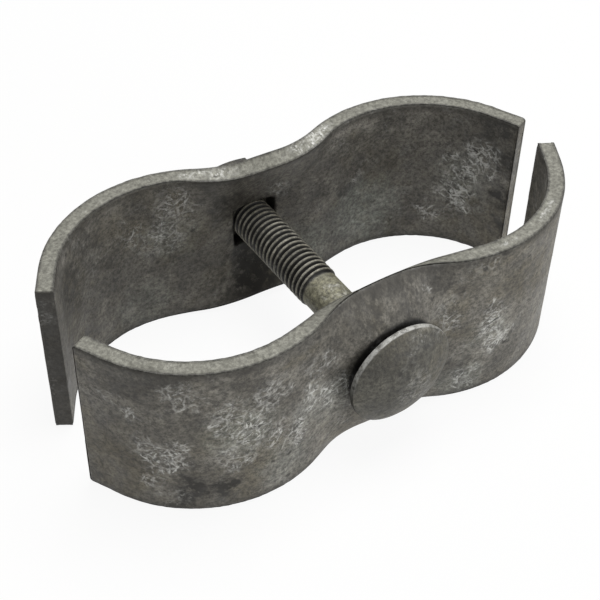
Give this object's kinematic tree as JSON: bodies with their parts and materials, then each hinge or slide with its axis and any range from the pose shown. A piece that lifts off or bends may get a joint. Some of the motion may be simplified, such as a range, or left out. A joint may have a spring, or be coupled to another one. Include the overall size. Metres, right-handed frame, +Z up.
{
  "type": "panel clamp",
  "caption": "Tube clamp: bent steel strips drawn together by a cup head square neck bolt and hex nut, gripping a tube in each bay to join fence or sign panels.",
  "frame": {"origin": "under the bolt, halfway between the strips' facing bays, on the surface the clamp stands on", "axes": "+X along the strips from bay to bay, +Y along the bolt from its head to the nut, +Z up along the tubes that the bays grip"},
  "size_m": [0.1198, 0.0752, 0.0406],
  "materials": {
    "galvanised_strip": "dull hot dip galvanised, mottled",
    "galvanised_bolt": "dull galvanised, rough"
  },
  "bodies": {
    "front_side": {"front_clamp_half": "galvanised_strip", "carriage_bolt": "galvanised_bolt"},
    "rear_side": {"rear_clamp_half": "galvanised_strip"},
    "nut": {"hex_nut": "galvanised_bolt"}
  },
  "joints": [
    {"name": "rear_strip_slide", "type": "slide", "parent": "front_side", "child": "rear_side", "axis": [0, 1, 0], "range_m": [-0.0055, 0.001]},
    {"name": "nut_spin", "type": "hinge", "parent": "rear_side", "child": "nut", "pos_m": [0, 0.0303, 0.0203], "axis": [0, 1, 0], "range_deg": [-1321, 241]}
  ],
  "couplings": [
    {"joint": "nut_spin", "follows": "rear_strip_slide", "rad_per_m": 4188.8}
  ]
}
